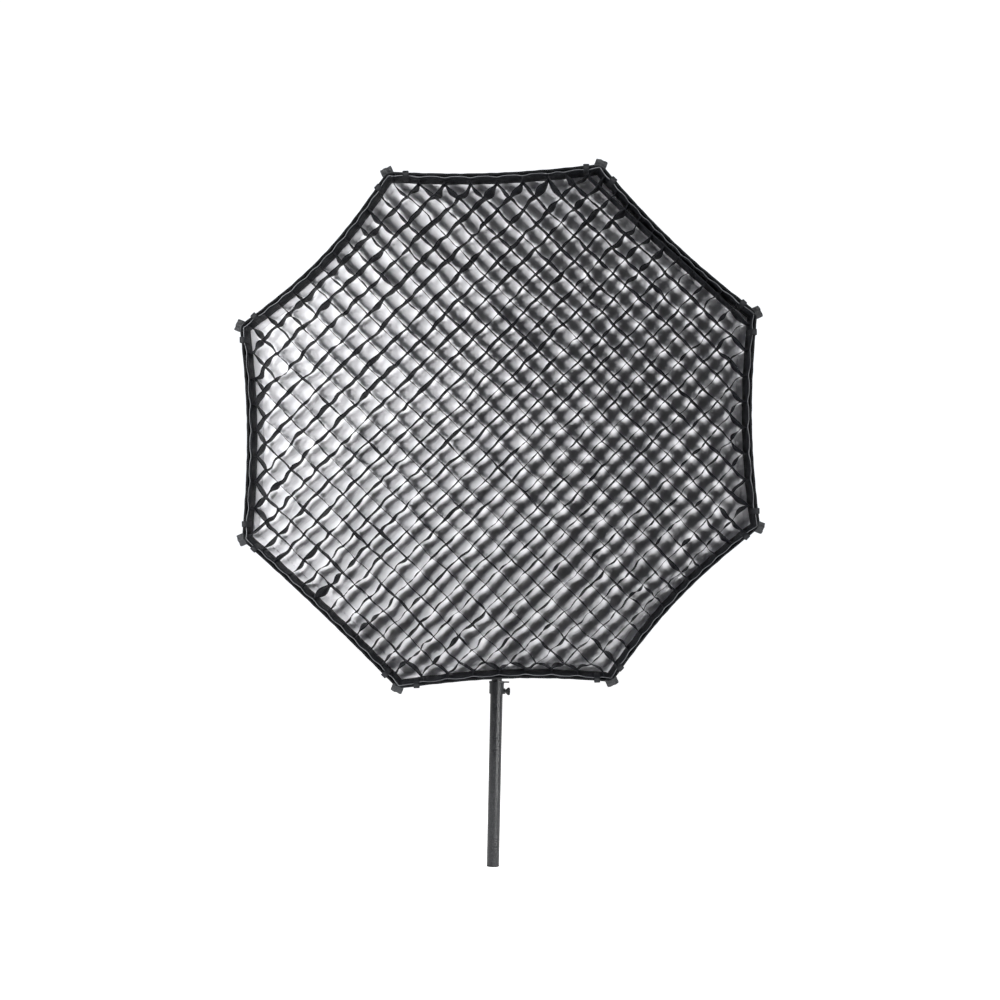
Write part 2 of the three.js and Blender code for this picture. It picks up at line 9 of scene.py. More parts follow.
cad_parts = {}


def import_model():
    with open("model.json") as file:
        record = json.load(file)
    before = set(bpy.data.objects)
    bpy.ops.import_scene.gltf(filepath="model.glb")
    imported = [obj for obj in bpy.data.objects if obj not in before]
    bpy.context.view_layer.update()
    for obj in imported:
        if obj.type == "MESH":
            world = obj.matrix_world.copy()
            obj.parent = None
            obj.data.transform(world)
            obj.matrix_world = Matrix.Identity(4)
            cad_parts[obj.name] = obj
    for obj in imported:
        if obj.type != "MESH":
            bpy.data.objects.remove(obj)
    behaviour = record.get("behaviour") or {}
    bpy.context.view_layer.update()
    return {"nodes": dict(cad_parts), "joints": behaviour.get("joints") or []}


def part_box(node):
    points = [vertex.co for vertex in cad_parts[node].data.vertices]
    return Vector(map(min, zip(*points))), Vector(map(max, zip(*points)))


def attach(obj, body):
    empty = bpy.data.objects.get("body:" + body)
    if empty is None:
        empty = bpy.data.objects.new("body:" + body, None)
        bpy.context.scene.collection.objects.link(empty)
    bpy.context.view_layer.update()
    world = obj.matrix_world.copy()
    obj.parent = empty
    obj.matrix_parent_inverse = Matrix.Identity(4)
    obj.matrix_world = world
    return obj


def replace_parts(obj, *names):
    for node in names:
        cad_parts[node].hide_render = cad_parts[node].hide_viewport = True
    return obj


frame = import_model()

JOINTS = {joint["name"]: joint for joint in frame["joints"]}
rng = np.random.default_rng(11)

# ---- Sizes, in metres. The softbox's own frame has Y as its axis, falling towards the front ----
SIDES = 8
HALF_SIDE = math.pi / SIDES
SIDE_TURN = 2 * HALF_SIDE
AXIS_Z = JOINTS["softbox_spin"]["pos_m"][2]
ROLL = math.asin(-JOINTS["ring_screw_1_turn"]["axis"][0])
# How far the middle of each front edge is drawn in, anticlockwise from the +X side, and how much longer the
# taut front is along one diagonal than across it
SIDE_SAG = np.array([0.0146, 0.0147, 0.0108, 0.0234, 0.013, 0.0054, 0.014, 0.0186])
STRETCH = 0.0065
STRETCH_ANGLE = math.radians(43.5)


def stretched(angle, pull):
    """How much further out the octagon is at an angle. pull is 0 where it is regular, 1 at the front."""
    return 1 + STRETCH * pull**2 * np.cos(2 * (angle - STRETCH_ANGLE))


def corner_radius(node):
    """How far out the corners of an octagonal node would be if it were regular."""
    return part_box(node)[1][0] / math.cos(HALF_SIDE - ROLL) / stretched(-HALF_SIDE, 1)


# The rods' middle line starts at the ring, is pulled towards its bend and ends at the tip: (radius, y)
ROD_START = (0.072, -0.061)
ROD_BEND = (0.392, -0.222)
ROD_TIP = (0.583, -0.432)
SHELL_FROM = 0.08  # how far along that line the shell starts
# The front's bands, by their edges: (radius of a corner, y)
LIP_BACK = (0.5885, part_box("front_lip")[1][1])
LIP_FRONT = (corner_radius("front_lip"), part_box("front_lip")[0][1])
GRID_FRONT = (corner_radius("fabric_grid"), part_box("fabric_grid")[0][1])
GRID_BACK = (0.579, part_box("fabric_grid")[1][1] + 0.002)
GRID_DEPTH = GRID_BACK[1] - GRID_FRONT[1]
GRID_CELL = 0.0393
GRID_MIDDLE = (0.0249, -0.0053)
GRID_TURN = math.radians(-1.0)
RIBBON_WALL = 0.0008
CLOTH_INSET = 0.0006  # from a CAD sheet's front face to the middle of the cloth that stands for it
DIFFUSER_CORNER = 0.568
DIFFUSER_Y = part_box("front_diffuser")[0][1] + CLOTH_INSET
BAFFLE_CORNER = 0.262
BAFFLE_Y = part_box("inner_baffle")[0][1] + CLOTH_INSET


# ---- Meshes ----
def world(points):
    """Points of the softbox's own frame, in the part's frame."""
    x, y, z = np.asarray(points, float).reshape(-1, 3).T
    c, s = math.cos(ROLL), math.sin(ROLL)
    return np.stack([x * c - z * s, y, AXIS_Z + x * s + z * c], axis=1)


def mesh_piece(name, points, faces, material, cloth):
    """A smooth mesh object. cloth gives each point's place on the flat cloth, in metres."""
    mesh = bpy.data.meshes.new(name)
    mesh.from_pydata([tuple(p) for p in points], [], [tuple(int(i) for i in f) for f in faces])
    mesh.polygons.foreach_set("use_smooth", [True] * len(mesh.polygons))
    layer = mesh.attributes.new("cloth", "FLOAT_VECTOR", "POINT")
    layer.data.foreach_set("vector", np.asarray(cloth, np.float32).ravel())
    mesh.materials.append(material)
    piece = bpy.data.objects.new(name, mesh)
    bpy.context.scene.collection.objects.link(piece)
    return piece


def sheet_faces(rows, columns, closed=False, start=0):
    """Quads of a grid of rows of points; closed joins each row's end to its start."""
    faces = []
    for row in range(rows - 1):
        near = start + row * columns
        far = near + columns
        for c in range(columns if closed else columns - 1):
            n = (c + 1) % columns
            faces.append((near + c, near + n, far + n, far + c))
    return faces


def thicken(piece, wall, offset=0.0):
    """Gives a cloth its wall: half on each side of its mesh, or all outwards with an offset of 1."""
    solid = piece.modifiers.new("wall", "SOLIDIFY")
    solid.thickness = wall
    solid.offset = offset
    return piece


def round_off(piece):
    """Rounds a thick cloth's folds and edges."""
    smooth = piece.modifiers.new("soft", "SUBSURF")
    smooth.levels = 1
    smooth.render_levels = 1


def soften(piece, width):
    """Small rounds on a hard piece's edges."""
    bevel = piece.modifiers.new("edge", "BEVEL")
    bevel.width = width
    bevel.segments = 2
    bevel.limit_method = "ANGLE"
    bevel.angle_limit = math.radians(40)
    bevel.harden_normals = True


def turned(out, across, angle):
    """x and z of a point that is out from the axis and across from there, at an angle round the axis."""
    x = out * math.cos(angle) - across * math.sin(angle)
    z = out * math.sin(angle) + across * math.cos(angle)
    return x, z


def ring(radius, y, angles):
    """Points round the axis. radius and y are numbers, or have a value for each angle."""
    depths = np.broadcast_to(y, angles.shape)
    return np.stack([radius * np.cos(angles), depths, radius * np.sin(angles)], axis=1)


def unit(vectors):
    """The vectors, each made one long."""
    return vectors / np.linalg.norm(vectors, axis=1, keepdims=True)


def cord(name, path, radius, material, sides=8):
    """A round cord along a closed path of points of the softbox's own frame."""
    along = unit(np.roll(path, -1, axis=0) - np.roll(path, 1, axis=0))
    side = unit(np.cross(along, unit(path * [1, 0, 1])))
    out = np.cross(side, along)
    turn = np.linspace(0, 2 * math.pi, sides, endpoint=False)
    around = out[:, None] * np.cos(turn)[:, None] + side[:, None] * np.sin(turn)[:, None]
    points = path[:, None] + radius * around
    count = len(path)
    faces = []
    for i in range(count):
        here = i * sides
        ahead = (i + 1) % count * sides
        for k in range(sides):
            m = (k + 1) % sides
            faces.append((here + k, here + m, ahead + m, ahead + k))
    run = np.concatenate([[0], np.cumsum(np.linalg.norm(np.diff(path, axis=0), axis=1))])
    cloth = np.stack([np.repeat(run, sides), np.tile(turn * radius, count), np.zeros(count * sides)], axis=1)
    return mesh_piece(name, world(points), faces, material, cloth)


# ---- The octagon ----
def nearest_side(angle):
    """The number of the side at an angle, anticlockwise from the +X side."""
    return np.round(np.asarray(angle) / SIDE_TURN).astype(int)


def from_middle(angle):
    """The angle from the middle of the nearest side."""
    return angle - nearest_side(angle) * SIDE_TURN


def corner_angle(index):
    """The angle of a corner, anticlockwise from the one after the +X side's middle."""
    return HALF_SIDE + index * SIDE_TURN


def reach(angle, corner, pull):
    """How far the outline of an octagon with drawn-in sides is, at an angle."""
    f = from_middle(angle)
    drawn_in = pull * SIDE_SAG[nearest_side(angle) % SIDES] * (1 - (f / HALF_SIDE) ** 2)
    return (corner * math.cos(HALF_SIDE) - drawn_in) / np.cos(f) * stretched(angle, pull)


def inside_by(x, z, corner):
    """How far a point is inside the nearest side of the front's outline."""
    angle = np.arctan2(z, x)
    return (reach(angle, corner, 1) - np.hypot(x, z)) * np.cos(from_middle(angle))


def outline(per_side):
    """Angles round the octagon, a corner first, evenly along each side."""
    steps = np.linspace(-1, 1, per_side, endpoint=False) * math.tan(HALF_SIDE)
    return np.concatenate([side * SIDE_TURN + np.arctan(steps) for side in range(SIDES)])


def ripple(angles, seed, terms, size):
    """A smooth random wave round the octagon."""
    source = np.random.default_rng(seed)
    wave = np.zeros(len(angles))
    for count in terms:
        wave += source.normal(0, 1) * np.sin(count * angles + source.uniform(0, 2 * math.pi))
    return size * wave / math.sqrt(len(terms))


def octagon_band(name, profile, per_side, material, wall, waves):
    """A closed band: profile is a list of (corner, y, pull), and waves adds to each ring's radius."""
    angles = outline(per_side)
    points, cloth = [], []
    depth = 0.0
    for i, (corner, y, pull) in enumerate(profile):
        v = i / (len(profile) - 1)
        radius = reach(angles, corner, pull) + waves(angles, v)
        if i:
            depth += math.hypot(corner - profile[i - 1][0], y - profile[i - 1][1])
        points.append(ring(radius, y, angles))
        depths, shares = np.full_like(angles, depth), np.full_like(angles, v)
        cloth.append(np.stack([angles * radius, depths, shares], axis=1))
    faces = sheet_faces(len(profile), len(angles), closed=True)
    piece = mesh_piece(name, world(np.concatenate(points)), faces, material, np.concatenate(cloth))
    return thicken(piece, wall)


# ---- Materials ----
class Shader:
    """Nodes of one material, by short calls."""

    def __init__(self, name, colour, roughness, metallic=0.0, **sockets):
        self.material = bpy.data.materials.new(name)
        self.material.use_nodes = True
        self.nodes = self.material.node_tree.nodes
        self.links = self.material.node_tree.links
        self.surface = self.nodes["Principled BSDF"]
        self.surface.inputs["Base Color"].default_value = (*colour, 1)
        self.surface.inputs["Roughness"].default_value = roughness
        self.surface.inputs["Metallic"].default_value = metallic
        for socket, value in sockets.items():
            self.surface.inputs[socket.replace("_", " ")].default_value = value

    def node(self, kind, **settings):
        made = self.nodes.new(kind)
        for key, value in settings.items():
            setattr(made, key, value)
        return made

    def link(self, output, target):
        self.links.new(output, target)

    def place(self):
        """Object coordinates, in metres."""
        return self.node("ShaderNodeTexCoord").outputs["Object"]

    def cloth(self):
        """Where on the flat cloth a point is, in metres."""
        return self.node("ShaderNodeAttribute", attribute_name="cloth").outputs["Vector"]

    def noise(self, vector, scale, detail=3.0, roughness=0.5):
        made = self.node("ShaderNodeTexNoise")
        made.inputs["Scale"].default_value = scale
        made.inputs["Detail"].default_value = detail
        made.inputs["Roughness"].default_value = roughness
        self.link(vector, made.inputs["Vector"])
        return made.outputs["Fac"]

    def bands(self, vector, direction, scale):
        made = self.node("ShaderNodeTexWave", wave_type="BANDS", bands_direction=direction)
        made.inputs["Scale"].default_value = scale
        self.link(vector, made.inputs["Vector"])
        return made.outputs["Fac"]

    def weave(self, scale):
        """The height of crossed threads over the flat cloth."""
        cloth = self.cloth()
        return self.math("MAXIMUM", self.bands(cloth, "X", scale), self.bands(cloth, "Y", scale))

    def math(self, operation, a, b):
        made = self.node("ShaderNodeMath", operation=operation)
        self.link(a, made.inputs[0])
        self.link(b, made.inputs[1])
        return made.outputs[0]

    def remap(self, value, low, high, to_low=0.0, to_high=1.0):
        made = self.node("ShaderNodeMapRange")
        for key, number in (("From Min", low), ("From Max", high), ("To Min", to_low), ("To Max", to_high)):
            made.inputs[key].default_value = number
        self.link(value, made.inputs["Value"])
        return made.outputs[0]

    def mix(self, factor, a, b):
        """A mix of two colours. The node has its factor at socket 0 and the colours at 6 and 7."""
        made = self.node("ShaderNodeMix", data_type="RGBA")
        for index, value in ((0, factor), (6, a), (7, b)):
            if isinstance(value, tuple):
                made.inputs[index].default_value = (*value, 1)
            else:
                self.link(value, made.inputs[index])
        return made.outputs[2]

    def colour(self, output):
        self.link(output, self.surface.inputs["Base Color"])

    def rough(self, output):
        self.link(output, self.surface.inputs["Roughness"])

    def bump(self, height, distance, strength=1.0):
        """Adds a height, in metres, to the bumps that are there already."""
        made = self.node("ShaderNodeBump")
        made.inputs["Distance"].default_value = distance
        made.inputs["Strength"].default_value = strength
        self.link(height, made.inputs["Height"])
        normal = self.surface.inputs["Normal"]
        if normal.is_linked:
            self.link(normal.links[0].from_socket, made.inputs["Normal"])
        self.link(made.outputs["Normal"], normal)

    def worn(self):
        """1 along sharp outer edges."""
        geometry = self.node("ShaderNodeNewGeometry")
        return self.remap(geometry.outputs["Pointiness"], 0.6, 0.7)


def woven(name, colour, light, roughness, thread, bump, crinkle=0.0, **sockets):
    """Plain-weave cloth, coarser with a wider thread, with uneven dye and soft crinkles."""
    s = Shader(name, colour, roughness, **sockets)
    uneven = s.remap(s.noise(s.place(), 9.0, 4.0), 0.3, 0.7)
    s.colour(s.mix(uneven, colour, light))
    s.rough(s.remap(uneven, 0, 1, roughness - 0.06, roughness + 0.06))
    if crinkle:
        s.bump(s.noise(s.place(), 22.0, 4.0, 0.6), crinkle)
    s.bump(s.weave(0.5 / thread), bump, 0.6)
    return s.material


def black_nylon():
    return woven("black_nylon", (0.006, 0.0065, 0.008), (0.012, 0.0128, 0.015), 0.56, thread=0.0006,
                 bump=0.00012, crinkle=0.0016, Sheen_Weight=0.02, Sheen_Roughness=0.4,
                 Specular_IOR_Level=0.22)


def lip_nylon_painted_shade():
    """The lip's cloth, also the hem's: duller than the shell's, with its black painted deeper than the
    shell's as painted shade.
    """
    return woven("lip_nylon_painted_shade", (0.003, 0.0033, 0.0042), (0.0062, 0.0067, 0.008), 0.66, thread=0.0006,
                 bump=0.0001, crinkle=0.0022, Specular_IOR_Level=0.13)


def pocket_cloth_painted_light():
    """The corner pockets' cloth: coarser than the shell's, and painted paler than it as painted light on
    faces that the lamps leave in shade.
    """
    return woven("pocket_cloth_painted_light", (0.008, 0.0086, 0.0098), (0.024, 0.0255, 0.028), 0.5, thread=0.0009,
                 bump=0.00016, crinkle=0.0014, Specular_IOR_Level=0.32)


def grid_cloth():
    """Ribbon cloth in two shades of black, mixed at random, with the paler one also painted along the front
    edge, where cloth Z is 0, as a painted highlight where that edge catches the light.
    """
    deep = (0.004, 0.0043, 0.0056)
    pale = (0.009, 0.0097, 0.012)
    s = Shader("grid_cloth", pale, 0.5, Specular_IOR_Level=0.16)
    split = s.node("ShaderNodeSeparateXYZ")
    s.link(s.cloth(), split.inputs[0])
    # Painted highlight: this mask paints the paler black along the front edges of the ribbons and the border.
    edge = s.remap(split.outputs["Z"], 0.05, 0.02)
    uneven = s.remap(s.noise(s.place(), 30.0, 3.0), 0.3, 0.7)
    s.colour(s.mix(edge, s.mix(uneven, deep, pale), pale))
    s.rough(s.remap(uneven, 0, 1, 0.5, 0.62))
    s.bump(s.noise(s.place(), 60.0, 3.0), 0.0012)
    s.bump(s.weave(700.0), 0.0001, 0.5)
    return s.material


# The binding's pale grey is a painted highlight: the light line where the grid's front edge catches the
# light.
def binding_painted_highlight():
    return woven("binding_painted_highlight", (0.06, 0.062, 0.068), (0.16, 0.165, 0.175), 0.5, thread=0.0007, bump=0.0001)


def white_cloth():
    return woven("white_cloth", (0.86, 0.86, 0.88), (0.8, 0.8, 0.83), 0.75, thread=0.0005, bump=0.00008,
                 crinkle=0.0012, Sheen_Weight=0.15)


def silver_cloth():
    return woven("silver_cloth", (0.72, 0.73, 0.75), (0.6, 0.61, 0.63), 0.32, thread=0.0008, bump=0.0002,
                 crinkle=0.003, Metallic=0.75)


def hard(name, colour, worn_colour, roughness, grain, depth, **sockets):
    """Painted, cast or moulded: fine grain, uneven sheen, and wear along the edges."""
    s = Shader(name, colour, roughness, **sockets)
    place = s.place()
    blotch = s.remap(s.noise(place, 24.0, 4.0), 0.3, 0.7)
    base = s.mix(blotch, colour, tuple(c * 1.35 for c in colour))
    chips = s.math("MULTIPLY", s.worn(), s.remap(s.noise(place, 260.0, 5.0, 0.7), 0.48, 0.6))
    s.colour(s.mix(chips, base, worn_colour))
    s.rough(s.remap(blotch, 0, 1, roughness - 0.07, roughness + 0.07))
    s.bump(s.noise(place, grain, 2.0, 0.6), depth, 0.5)
    return s.material


def brushed_steel():
    """Steel with fine lines along X."""
    s = Shader("brushed_steel", (0.56, 0.57, 0.58), 0.3, metallic=1.0)
    along = s.node("ShaderNodeMapping")
    along.inputs["Scale"].default_value = (1.0, 60.0, 60.0)
    s.link(s.place(), along.inputs["Vector"])
    lines = s.noise(along.outputs["Vector"], 40.0, 3.0)
    s.colour(s.mix(s.remap(lines, 0.35, 0.65), (0.47, 0.48, 0.49), (0.62, 0.63, 0.64)))
    s.rough(s.remap(lines, 0.3, 0.7, 0.24, 0.4))
    s.bump(lines, 0.0001, 0.4)
    return s.material


NYLON = black_nylon()
LIP_SHADED_NYLON = lip_nylon_painted_shade()
POCKET_LIT_CLOTH = pocket_cloth_painted_light()
GRID = grid_cloth()
BINDING_HIGHLIGHT = binding_painted_highlight()
WHITE = white_cloth()
SILVER = silver_cloth()
STEEL = brushed_steel()
TUBE = hard("black_anodised", (0.0045, 0.005, 0.006), (0.05, 0.05, 0.054), 0.3, grain=900.0, depth=0.00002,
            Specular_IOR_Level=0.4)
CAST = hard("black_casting", (0.006, 0.0066, 0.0078), (0.06, 0.06, 0.063), 0.36, grain=700.0, depth=0.0001,
            Specular_IOR_Level=0.4)
PLASTIC = hard("black_plastic", (0.008, 0.008, 0.009), (0.04, 0.04, 0.042), 0.45, grain=1200.0, depth=0.0001,
               Specular_IOR_Level=0.3)
FIBRE = hard("fibre_rod", (0.03, 0.03, 0.031), (0.1, 0.1, 0.1), 0.35, grain=300.0, depth=0.0001)

CAD_FINISH = {
    TUBE: ("lower_tube", "upper_tube"),
    CAST: ("clamp_collar", "swivel_socket", "bracket_frame", "shoe_carriage", "speed_ring"),
    STEEL: ("spigot", "tilt_bolt", "release_latch", "bayonet_ring", "bayonet_insert", "retaining_ring",
            "ring_screw_1", "ring_screw_2", "bayonet_screw_1", "bayonet_screw_2", "bayonet_screw_3"),
    PLASTIC: ("foot_plug", "collar_bush", "collar_knob", "tube_glide", "socket_knob", "tilt_lever",
              "shoe_knob"),
    FIBRE: tuple(f"rod_{i + 1}" for i in range(SIDES)),
}
FINE_PIECES = ("rod", "bayonet_screw", "ring_screw")
FINE_ROUND = 0.0004
ROUND = 0.0007


def finish_cad():
    """The hard pieces keep their shape: a material, smooth shading and rounded edges."""
    for material, names in CAD_FINISH.items():
        for name in names:
            piece = frame["nodes"][name]
            piece.data.materials.clear()
            piece.data.materials.append(material)
            piece.data.polygons.foreach_set("use_smooth", [True] * len(piece.data.polygons))
            soften(piece, FINE_ROUND if name.startswith(FINE_PIECES) else ROUND)


# ---- The grid ----
LATTICE = GRID_CELL / math.sqrt(2)
STRIP_NUMBERS = range(-16, 17)
ROWS = 5
DEPTHS = np.linspace(0, 1, ROWS)  # 0 at a ribbon's front edge and 1 at its back edge
STEPS = 7
NODE_MARGIN = 0.013  # a crossing nearer than this to the border is on it, or is left out
HIT_REACH = 0.2  # how far a ribbon's end is followed to find the border, and how often that is halved
HALVINGS = 24
LONG_DRIFT = 0.0022
SHORT_DRIFT = 0.0012
NODE_WANDER = 0.0011
GRID_LEAN = (-0.0009, 0.0009)  # how far the front edges stand up and to the left of the ribbons' middles
LEAN_WANDER = 0.0009
# How far inside the border two ribbons meet before they share an end, in front and behind
STEM_INSET = (0.009, 0.003)
# How far a ribbon bows between two crossings, how far it sways to both sides, and how far apart its two edges
# do so. Each is a spread, for a whole cell
BOW = 0.0017
SWAY = 0.0012
FAN = 0.0024
TWIST = 0.002
MIDDLE_PLAY = 0.4  # the share of those spreads at the grid's middle, and how much it grows towards the lip
EDGE_PLAY = 1.1
SLACK = (0.0075, 0.004)  # how far the back edge of a ribbon's last stretches falls towards the grid's middle
BORDER_STEPS = 72
BORDER_WALL = 0.0012
BORDER_LIFT = 0.0007  # how far outside the ribbons' ends it is, and how far forward of them
BORDER_FORWARD = 0.0006
BORDER_RADIUS = 0.55
BORDER_BULGE = 0.003  # how far it bulges well away from a join, and how near to one it is held back
BULGE_REACH = 0.011
BULGE_FADE = 0.6  # the share of that bulge that is gone at the border's back edge
BINDING_RADIUS = 0.0008
RISING_PLAY = 1.0  # how freely the ribbons of each family move
FALLING_PLAY = 0.5


def lattice_point(i, j):
    """Crossing of strip i of one family with strip j of the other, before the cloth wanders."""
    x = GRID_MIDDLE[0] + LATTICE * (i + j)
    z = GRID_MIDDLE[1] + LATTICE * (i - j)
    c, s = math.cos(GRID_TURN), math.sin(GRID_TURN)
    return np.array([x * c - z * s, x * s + z * c])


def drift(p):
    """The slow wander of the crossings over the whole grid."""
    x, z = p
    return np.array([
        LONG_DRIFT * math.sin(7.0 * x + 4.0 * z + 1.0) + SHORT_DRIFT * math.sin(15.0 * z - 6.0 * x),
        LONG_DRIFT * math.sin(6.0 * z - 5.0 * x + 2.2) + SHORT_DRIFT * math.sin(13.0 * x + 8.0 * z),
    ])


def band_corner(v):
    """The corner radius of the grid's border at a depth: v is 0 in front and 1 behind."""
    return GRID_FRONT[0] + (GRID_BACK[0] - GRID_FRONT[0]) * v


def on_band(p, v, inset=0.0):
    """A point moved square to the nearest side until it is on the border, or inset from it."""
    margin = inside_by(p[0], p[1], band_corner(v)) - inset
    angle = math.atan2(p[1], p[0])
    normal = angle - from_middle(angle)
    return p + margin * np.array([math.cos(normal), math.sin(normal)])


def band_hit(p, direction, v):
    """Where a line from p meets the border, by halving the stretch that it is in."""
    low, high = 0.0, HIT_REACH
    for _ in range(HALVINGS):
        middle = (low + high) / 2
        q = p + direction * middle
        if inside_by(q[0], q[1], band_corner(v)) > 0:
            low = middle
        else:
            high = middle
    return p + direction * low


def crossing_kinds():
    """The crossings that are free or on the border, each with its point at every depth."""
    kinds = {}
    for i in STRIP_NUMBERS:
        for j in STRIP_NUMBERS:
            p = lattice_point(i, j)
            margin = inside_by(p[0], p[1], band_corner(0.5))
            side = round(math.atan2(p[1], p[0]) / SIDE_TURN)
            shake = rng.normal(0, NODE_WANDER, 2)
            lean = rng.normal(GRID_LEAN, LEAN_WANDER)
            if margin > NODE_MARGIN:
                q = p + drift(p) + shake
                kinds[i, j] = ("free", [q + lean * (0.5 - v) * 2 for v in DEPTHS])
            elif margin > -NODE_MARGIN and side % 2 == 0:
                kinds[i, j] = ("border", [on_band(p, v) for v in DEPTHS])
    return kinds


def strip_route(cells, kinds):
    """The points of one strip, for each depth, with its ends carried to the border."""
    found = [cell for cell in cells if cell in kinds]
    free = [n for n, cell in enumerate(found) if kinds[cell][0] == "free"]
    if not free:
        return None
    first, last = free[0], free[-1]
    route = [kinds[found[n]][1] for n in range(first, last + 1)]
    front_inset, back_inset = STEM_INSET
    ends = []
    for edge, step in ((first, -1), (last, 1)):
        beyond = edge + step
        inner = kinds[found[edge]][1]
        if 0 <= beyond < len(found) and kinds[found[beyond]][0] == "border":
            tip = kinds[found[beyond]][1]
            insets = [front_inset + (back_inset - front_inset) * v for v in DEPTHS]
            stem = [on_band(tip[k], v, insets[k]) for k, v in enumerate(DEPTHS)]
            ends.append([stem, tip])
        else:
            direction = np.array(lattice_point(*cells[1])) - lattice_point(*cells[0])
            direction *= step / np.linalg.norm(direction)
            ends.append([[band_hit(inner[k], direction, v) for k, v in enumerate(DEPTHS)]])
    return [*reversed(ends[0]), *route, *ends[1]]


def strip_family(name, routes, wildness):
    """One family of strips: between crossings each ribbon bows, and its two edges bow differently."""
    points, faces, cloth = [], [], []
    for route in routes:
        start = len(points)
        run = 0.0
        for k in range(len(route) - 1):
            a, b = np.array(route[k]), np.array(route[k + 1])
            middle = (a + b).mean(axis=0) / 2
            span = np.linalg.norm(b - a, axis=1).mean()
            share = min(span / GRID_CELL, 1.0)
            normal = np.array([-(b - a)[:, 1], (b - a)[:, 0]]).T / span
            outwards = min(np.linalg.norm(middle) / LIP_FRONT[0], 1)
            size = wildness * (MIDDLE_PLAY + EDGE_PLAY * outwards ** 2) * share
            bow, sway, fan, twist = [rng.normal(0, spread) * size for spread in (BOW, SWAY, FAN, TWIST)]
            from_end = min(k, len(route) - 2 - k)
            slack = 0.0
            if from_end < len(SLACK):
                slack = -SLACK[from_end] * share * np.sign(normal.mean(axis=0) @ middle)
            for n in range(STEPS + (k == len(route) - 2)):
                t = n / STEPS
                hump = math.sin(math.pi * t) ** 1.3 if t > 0 else 0.0
                wave = math.sin(2 * math.pi * t)
                apart = (DEPTHS - 0.5) * (fan * hump + twist * wave)
                aside = bow * hump + sway * wave + apart + DEPTHS * slack * hump
                line = a + (b - a) * t + normal * aside[:, None]
                for v, (x, z) in zip(DEPTHS, line):
                    points.append((x, GRID_FRONT[1] + GRID_DEPTH * v, z))
                    cloth.append((run + span * t, v * GRID_DEPTH, v))
            run += span
        for here in range(start, len(points) - ROWS, ROWS):
            ahead = here + ROWS
            faces += [(here + r, ahead + r, ahead + r + 1, here + r + 1) for r in range(ROWS - 1)]
    piece = mesh_piece(name, world(points), faces, GRID, cloth)
    thicken(piece, RIBBON_WALL)
    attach(piece, "softbox")


def grid_border(routes):
    """The band that the strips are sewn to. It bulges out between them, and a binding edges it, painted pale
    grey as a painted highlight along its front edge.
    """
    ends = [end[0] for route in routes for end in (route[0], route[-1])]
    joins = np.array([math.atan2(z, x) for x, z in ends])
    angles = outline(BORDER_STEPS)
    apart = (angles[:, None] - joins[None, :] + math.pi) % (2 * math.pi) - math.pi
    gap = np.abs(apart).min(axis=1) * BORDER_RADIUS
    bulge = BORDER_BULGE * (1 - np.exp(-((gap / BULGE_REACH) ** 2)))

    def bulges(_, v):
        return BORDER_LIFT + bulge * (1 - BULGE_FADE * v)

    profile = [(band_corner(v), GRID_FRONT[1] + GRID_DEPTH * v - BORDER_FORWARD, 1) for v in DEPTHS]
    piece = octagon_band("grid_border", profile, BORDER_STEPS, GRID, BORDER_WALL, bulges)
    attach(piece, "softbox")
    radius = reach(angles, GRID_FRONT[0], 1) + bulge + BORDER_LIFT
    path = ring(radius, GRID_FRONT[1] - BINDING_RADIUS, angles)
    # The bead's pale grey is a painted highlight along the border's front edge.
    bead = cord("grid_border_binding", path, BINDING_RADIUS, BINDING_HIGHLIGHT, sides=6)
    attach(bead, "softbox")
    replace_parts(piece, "fabric_grid")


def make_grid():
    """Both families of strips, and the border round them."""
    kinds = crossing_kinds()
    rising = [strip_route([(i, j) for i in STRIP_NUMBERS], kinds) for j in STRIP_NUMBERS]
    falling = [strip_route([(i, j) for j in STRIP_NUMBERS], kinds) for i in STRIP_NUMBERS]
    rising = [route for route in rising if route]
    falling = [route for route in falling if route]
    strip_family("grid_strips_rising", rising, RISING_PLAY)
    strip_family("grid_strips_falling", falling, FALLING_PLAY)
    grid_border(rising + falling)


# ---- Cloth of the softbox ----
SHELL_ROWS = 40
SHELL_STEPS = 32
SHELL_WALL = 0.0009
SHELL_LIFT = 0.0066  # out from the rods' middle line
LINING_LIFT = 0.0046
SHELL_UNTIL = 0.998  # where it ends, along the rods' line
LINING_UNTIL = 0.985
PANEL_SINK = 0.0045  # how far a panel is drawn in, halfway between its seams
PANEL_PULL = 0.0004  # small pulls in the panels
TAPE_ROWS = 48
TAPE_STEP = 0.0135
TAPE_UNTIL = 0.995
TAPE_LIFT = 0.0076
TAPE_FALL = 0.36
TAPE_WALL = 0.0008
# Across a seam tape: how far from its middle, and how far up
TAPE_SECTION = ((-0.0055, 0.0002), (-0.0045, 0.0008), (-0.0015, 0.001), (0, 0.0016),
                (0.0015, 0.001), (0.0045, 0.0008), (0.0055, 0.0002))
LIP_ROWS = 9
LIP_STEPS = 56
LIP_WALL = 0.0018
LIP_INSET = 0.001
LIP_CREASE = 0.0003  # long creases, that grow towards the front edge, and fine ones
LIP_FINE_CREASE = 0.0002
LIP_INTO_HEM = 0.0028  # how far the cloth runs on forward, into its hem
LIP_FALL = 0.0085  # how much further out the lip is at its front than at its back, over its depth
LIP_DEPTH = 0.049
HEM_INSET = 0.0026
HEM_RADIUS = 0.0022
HEM_WAVE = 0.0005
PIPING_OUT = 0.0004
PIPING_RADIUS = 0.0019
PIPING_WAVE = 0.0002
POCKET_COLUMNS = 13
POCKET_STEP = 0.003
POCKET_WALL = 0.0011
POCKET_HALF = 0.0092  # half its width at the back, and how much its mouth flares
POCKET_FLARE = 0.0042
POCKET_CORNER = 0.0052
POCKET_OUT = 0.0032  # how far its sides are outside and inside the lip, at the back
POCKET_IN = 0.0036
